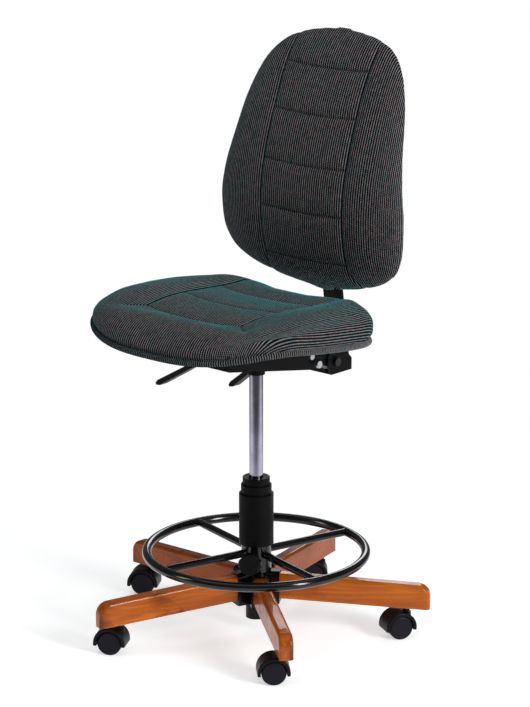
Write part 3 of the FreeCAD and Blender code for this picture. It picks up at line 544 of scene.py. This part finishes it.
# distance behind the column, height of the crown above the seat plane
SEAT_CROWN = refined((
    (-311.5, -22), (-308, -12), (-298, 1), (-282, 12), (-262, 19), (-230, 25), (-185, 35),
    (-130, 48), (-65, 55), (0, 58), (60, 59), (100, 58), (125, 53), (140, 44), (149, 30),
    (151.5, 18)))
# distance behind the column, height of the side bolsters above the crown
SEAT_BOLSTERS = refined((
    (-320, 0), (-200, 6), (-80, 6), (0, 7), (60, 12), (100, 19), (130, 18), (155, 0)))
SEAT_SEAM_SIDE = 0.125
SEAT_SEAMS = (-0.190, -0.085, 0.025)


def seat_half_width(y, grow):
    """Half width of the cushion's outline at one depth, with the outline grown outward."""
    share = np.abs(y - SEAT_CENTRE) / (SEAT_HALF_DEPTH + grow)
    power = np.where(y < SEAT_CENTRE, 2.8, 3.1)
    return (SEAT_HALF_WIDTH + grow) * np.clip(1 - share ** power, 1e-6, 1) ** (1 / power)


def waterfall(y):
    """How far the seat's front has curved down at one depth."""
    run = np.clip(WATERFALL_START - np.asarray(y, float), 0, WATERFALL_RADIUS)
    return WATERFALL_RADIUS - np.sqrt(WATERFALL_RADIUS ** 2 - run ** 2)


def seat_shape(y):
    """Half width, bottom, widest height and crown height of the cushion at one depth."""
    low = SEAT_UNDERSIDE - waterfall(y)
    crown = np.interp(y, SEAT_CROWN[:, 0], SEAT_CROWN[:, 1])
    return seat_half_width(y, 0.006), low, low + 0.52 * (crown - low), crown


def bolster(share, y):
    """Height of the side bolster at a share of the half width."""
    fall = np.clip((share - 0.70) / 0.30, 0, 1) ** 2
    height = np.interp(y, SEAT_BOLSTERS[:, 0], SEAT_BOLSTERS[:, 1])
    return 0.9 * ease(share, 0.08, 0.72) * (1 - fall) * height


def to_row(points):
    """Points from the tilted seat's own frame to the chair's frame."""
    x, y, z = points.T
    c, s = math.cos(SEAT_SLOPE), math.sin(SEAT_SLOPE)
    return np.stack([x, y * c - z * s, y * s + z * c + SEAT_HEIGHT], 1)


def seat_gap(points):
    """Distance from each point of the seat's top to its nearest stitched line."""
    x, y = np.abs(points[:, 0]), points[:, 1]
    side = SEAT_SEAM_SIDE + 1.25 * np.clip(SEAT_SEAMS[0] - y, 0, 1)
    gap = np.abs(x - side) / np.where(y < SEAT_SEAMS[0], 1.6, 1.0)
    gap += 0.4 * np.clip(-0.212 - y, 0, 1)
    for back in SEAT_SEAMS:
        bow = back - 0.012 * (1 - (x / SEAT_SEAM_SIDE) ** 2)
        gap = np.minimum(gap, np.hypot(y - bow, np.clip(x - SEAT_SEAM_SIDE, 0, 1)))
    widest = seat_shape(y)[2]
    return np.where(points[:, 2] > widest - 0.004, gap, 1.0)


def make_seat():
    loops = []
    for y in np.concatenate([np.linspace(-0.3115, -0.262, 14)[:-1], np.linspace(-0.262, 0.125, 70),
                             np.linspace(0.125, 0.1515, 9)[1:]]):
        half, low, widest, crown = seat_shape(y)
        slim = 0.004
        loop = []
        for i in range(SECTION_POINTS):
            turn = TAU * i / SECTION_POINTS
            c, s = math.cos(turn), math.sin(turn)
            power = 2 / (4.8 if s > 0 else 9.0)
            x = math.copysign(abs(c) ** power, c) * max(half - slim, 0.004)
            rise = crown - slim - widest if s > 0 else widest - low
            z = widest + math.copysign(abs(s) ** power, s) * rise
            if s > 0:
                z += float(bolster(abs(x) / half, y))
            loop.append(Vector((x, y, z)))
        loops.append(loop)
    piece = closed_loft("seat_upholstery", loops)
    remesh(piece, VOXEL)
    points = positions(piece)
    low = seat_shape(points[:, 1])[1]
    held = (seat_gap(points) < HELD_NEAR_SEAM) | (points[:, 2] < low + 0.006)
    inflate(piece, held, SEAT_PUFF)
    smooth_out(piece, 3)
    subdivide(piece)
    points = positions(piece)
    points[:, 0] *= SEAT_WIDEST / np.abs(points[:, 0]).max()
    front, rear = points[:, 1].min(), points[:, 1].max()
    points[:, 1] = SEAT_FRONT + (points[:, 1] - front) * SEAT_LENGTH / (rear - front)
    floor = SEAT_UNDERSIDE - waterfall(points[:, 1])
    points[:, 2] = np.maximum(points[:, 2], floor)
    set_positions(piece, points)
    pull_in(piece, seat_gap(points), SEAM_DEPTH,
            SEAT_CHANNEL_DEPTH)
    points, facing = positions(piece), normals(piece)
    # the crease just above the piping
    crease = points[:, 2] - (0.0074 - waterfall(points[:, 1]))
    wall = ease(np.hypot(facing[:, 0], facing[:, 1]), 0.3, 0.7)
    points[:, :2] -= facing[:, :2] * (0.0065 * np.exp(-(crease / 0.0060) ** 2) * wall)[:, None]
    x, y, z = points.T
    half, low, widest, crown = seat_shape(y)
    share = np.abs(x) / half
    # 1 along the sides of the outline, 0 along its front and rear
    spread = (np.abs(x) / SEAT_HALF_WIDTH) ** 5
    side = spread / (spread + (np.abs(y - SEAT_CENTRE) / SEAT_HALF_DEPTH) ** 5 + 1e-9)
    top = widest + (crown - widest) * 0.90 + bolster(0.80, y)
    drop = np.clip(top - z, 0, 1) * np.maximum(ease(share, 0.70, 1.0), ease(-y, 0.20, 0.30))
    # distance round the section: flat top, a rounded shoulder, then the upright wall
    radius = SHOULDER_RADIUS
    out = np.clip(np.abs(x) - (half - radius), 0, radius)
    sunk = np.clip(np.minimum(low + 0.064, top + 0.024) - z, 0, 1)
    arc = radius * np.arctan2(out, np.clip(radius - sunk, 0, 1))
    wrap = np.where(out > 0, arc + np.clip(sunk - radius, 0, 1), 0)
    wrapped = np.minimum(np.abs(x), half - radius) + wrap
    wrapped += (SEAT_HALF_WIDTH - half) * ease(np.abs(x), 0.12, 0.21)
    store(piece, "rib", np.sign(x) * ((1 - side) * np.abs(x) + side * wrapped))
    store(piece, "run", y - (1 - side) * drop)
    set_positions(piece, to_row(points))
    piece.data.materials.append(cloth("cloth_seat", RIB_PITCH))
    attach(piece, "seat")
    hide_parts("seat_cushion")


CORD_RADIUS = 0.0061
CORD_SWELL = 0.00028        # the cloth bulges a little over each rib of the cord
CORD_RIBS = 350
CORD_OFFSET = 0.0004        # outward from the outline, and up from the seat plane
CORD_STATIONS = 2100
CORD_SIDES = 16


def make_piping():
    """Cloth-covered cord round the foot of the seat cushion, with the ribs running across it."""
    turns = np.linspace(0, TAU, 721)[:-1]
    c, s = np.cos(turns), np.sin(turns)
    power = 2 / np.where(s > 0, 3.1, 2.8)
    grow = CORD_OFFSET
    path = np.stack([(SEAT_HALF_WIDTH + grow) * np.sign(c) * np.abs(c) ** power,
                     SEAT_CENTRE + (SEAT_HALF_DEPTH + grow) * np.sign(s) * np.abs(s) ** power,
                     np.zeros_like(c)], 1)
    closed = np.vstack([path, path[:1]])
    length = np.concatenate([[0], np.cumsum(np.linalg.norm(np.diff(closed, axis=0), axis=1))])
    count, rounds = CORD_STATIONS, CORD_SIDES
    stations = np.arange(count) * length[-1] / count
    line = np.stack([np.interp(stations, length, closed[:, i]) for i in (0, 1)]
                    + [np.zeros(count)], 1)
    line[:, 2] = CORD_OFFSET - waterfall(line[:, 1])
    heading = np.roll(line, -3, 0) - np.roll(line, 3, 0)
    heading /= np.linalg.norm(heading, axis=1, keepdims=True)
    outward = np.cross(heading, np.array([0.0, 0.0, 1.0]))
    outward /= np.linalg.norm(outward, axis=1, keepdims=True)
    up = np.cross(outward, heading)
    pitch = length[-1] / CORD_RIBS
    points, ribs = [], []
    for i in range(count):
        radius = CORD_RADIUS + CORD_SWELL * math.cos(TAU * stations[i] / pitch)
        for k in range(rounds):
            turn = TAU * k / rounds
            points.append(line[i]
                          + radius * (math.cos(turn) * outward[i] + math.sin(turn) * up[i]))
            ribs.append(stations[i])
    faces = []
    for i in range(count):
        ahead = (i + 1) % count
        for k in range(rounds):
            other = (k + 1) % rounds
            faces.append((i * rounds + k, i * rounds + other, ahead * rounds + other,
                          ahead * rounds + k))
    piece = object_from("seat_piping", to_row(np.array(points)), faces)
    piece.data.shade_smooth()
    store(piece, "rib", ribs)
    store(piece, "run", np.tile(np.arange(rounds) * 0.0024, count))
    store(piece, "seam", np.zeros(len(ribs)))
    piece.data.materials.append(cloth("cloth_piping", pitch))
    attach(piece, "seat")
    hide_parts("seat_welt")


# ------------------------------------------------------------------ carried-over nodes

def dress(material, *names):
    """Gives carried-over nodes a material; their shapes stay as they are."""
    for name in names:
        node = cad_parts[name]
        if not node.material_slots:
            node.data.materials.append(material)
        for place in node.material_slots:
            place.material = material


# how far each leg's colour is darkened: on the far legs 3 and 4 it is painted shade, and leg 1 is
# darkened a little
LEG_DARKENING = (0.22, 0.0, 0.55, 0.50, 0.0)
FIRST_LEG, LEG_STEP = -38.5, 72     # directions of the legs, in degrees


def dress_frame():
    black = rgb(0.0024, 0.0019, 0.0023)
    castor = moulded("castor_plastic", rgb(0.006, 0.006, 0.007), 0.28, 0.42)
    tread = moulded("tread_plastic", rgb(0.010, 0.0085, 0.013), 0.36, 0.52, 900.0)
    for number in range(1, 6):
        angle = math.radians(FIRST_LEG + LEG_STEP * (number - 1))
        dress(varnished_wood(f"stained_oak_{number}", angle, LEG_DARKENING[number - 1]),
              f"leg_{number}")
        dress(castor, f"castor_hood_{number}")
        dress(tread, f"castor_wheel_{number}a", f"castor_wheel_{number}b")
    dress(coated("hub_enamel", rgb(0.0025, 0.0020, 0.0024), 0.28, 0.40, 0.16), "base_hub",
          "column_tube")
    dress(coated("ring_enamel", rgb(0.003, 0.003, 0.0035), 0.17, 0.26, 0.7),
          "ring_rim", "ring_spokes", "ring_collar")
    dress(coated("control_enamel", rgb(0.003, 0.003, 0.0035), 0.36, 0.50, 0.0),
          "control_housing", "seat_plate", "back_bracket", "back_bar", "back_channel")
    dress(moulded("cover_plastic", black, 0.42, 0.56, 1100.0),
          "column_cover_outer", "column_cover_middle", "column_cover_inner", "clamp_pad")
    dress(moulded("lever_plastic", rgb(0.003, 0.003, 0.0035), 0.34, 0.48), "height_lever",
          "tilt_lever", "ring_knob")
    dress(metal("ground_steel", rgb(0.35, 0.325, 0.41), rgb(0.44, 0.415, 0.51), 0.10, 0.16,
                (600.0, 600.0, 14.0), 0.9), "pressure_tube")
    zinc = metal("zinc_plate", rgb(0.60, 0.60, 0.62), rgb(0.78, 0.78, 0.80), 0.20, 0.34,
                 (300.0, 300.0, 300.0))
    dress(zinc, "leg_screws")
    dress(metal("zinc_and_black", rgb(0.60, 0.60, 0.62), rgb(0.78, 0.78, 0.80), 0.20, 0.34,
                (300.0, 300.0, 300.0), bare_up_to=0.185), "control_bolts")
    oiled = metal("oiled_steel", rgb(0.20, 0.20, 0.21), rgb(0.30, 0.30, 0.31), 0.26, 0.42,
                  (300.0, 300.0, 300.0))
    dress(oiled, "castor_sockets", "castor_stems", "piston_rod", "rod_piston", "thrust_bearing",
          "retaining_clip", "release_pin", *[f"castor_axle_{number}" for number in range(1, 6)])
    dress(moulded("white_acetal", rgb(0.72, 0.72, 0.69), 0.35, 0.50, 700.0), "column_bushing",
          "rod_guide_seal")
    dress(metal("valve_brass", rgb(0.55, 0.40, 0.16), rgb(0.72, 0.55, 0.25), 0.25, 0.40,
                (400.0, 400.0, 400.0)), "valve_body")
    dress(stained_ply("stained_plywood"), "seat_board", "back_board")


# ------------------------------------------------------------------ floor and light

def make_floor():
    """Pale disc that fades into the white surround."""
    size, rings = 4.0, 96
    points = [(size * math.cos(TAU * i / rings), size * math.sin(TAU * i / rings), 0.0)
              for i in range(rings)]
    floor = object_from("floor", points, [tuple(range(rings))])
    s = Shader("pale_floor")
    tone = s.span(s.noise(s.place(), 0.8, 2.0), 0.3, 0.7, 0.84, 0.86)
    shade = s.mix(tone, rgb(0.0, 0.0, 0.0), rgb(0.95, 0.985, 1.0))
    sweep = s.place((1.0, 0.4, 1.0), math.radians(48))
    reach = s.add("ShaderNodeVectorMath", {0: sweep}, operation="LENGTH").outputs["Value"]
    s.finish(Base_Color=shade, Roughness=0.9, Specular_IOR_Level=0.05,
             Emission_Color=rgb(1.0, 1.0, 1.0), Emission_Strength=0.54,
             Alpha=s.span(reach, 0.5, 1.5, 1.0, 0.0))
    floor.data.materials.append(s.material)


def soft_box(name, place, aim, size, power):
    """Rectangular lamp at one place, turned to face another."""
    data = bpy.data.lights.new(name, "AREA")
    data.shape = "RECTANGLE"
    data.size, data.size_y = size
    data.energy = power
    light = bpy.data.objects.new(name, data)
    light.location = place
    light.rotation_euler = (Vector(aim) - Vector(place)).to_track_quat("-Z", "Y").to_euler()
    scene.collection.objects.link(light)


def light_scene():
    """White surround that is bright to the camera and dim as light, with four soft lamps."""
    world = bpy.data.worlds.new("studio")
    world.use_nodes = True
    tree = world.node_tree
    back = tree.nodes["Background"]
    back.inputs[0].default_value = rgb(1.0, 1.0, 1.0)
    seen = tree.nodes.new("ShaderNodeLightPath")
    power = tree.nodes.new("ShaderNodeMapRange")
    power.inputs[3].default_value = AMBIENT
    power.inputs[4].default_value = 1.0
    tree.links.new(seen.outputs["Is Camera Ray"], power.inputs[0])
    tree.links.new(power.outputs[0], back.inputs[1])
    scene.world = world
    soft_box("top_light", (0.2, -0.5, 3.4), (0, 0, 0.0), (4.2, 4.2), 42)
    soft_box("key_light", (-2.8, -3.6, 2.2), (0, 0, 0.6), (0.9, 2.2), 36)
    soft_box("side_light", (4.4, -0.2, 1.9), (0, 0, 0.6), (0.8, 2.4), 155)
    soft_box("rear_light", (-2.4, 3.8, 2.4), (0, 0, 0.7), (1.6, 1.6), 36)
    scene.view_settings.view_transform = "Standard"
    scene.view_settings.look = "None"


dress_frame()
make_back()
make_seat()
make_piping()
make_floor()
light_scene()
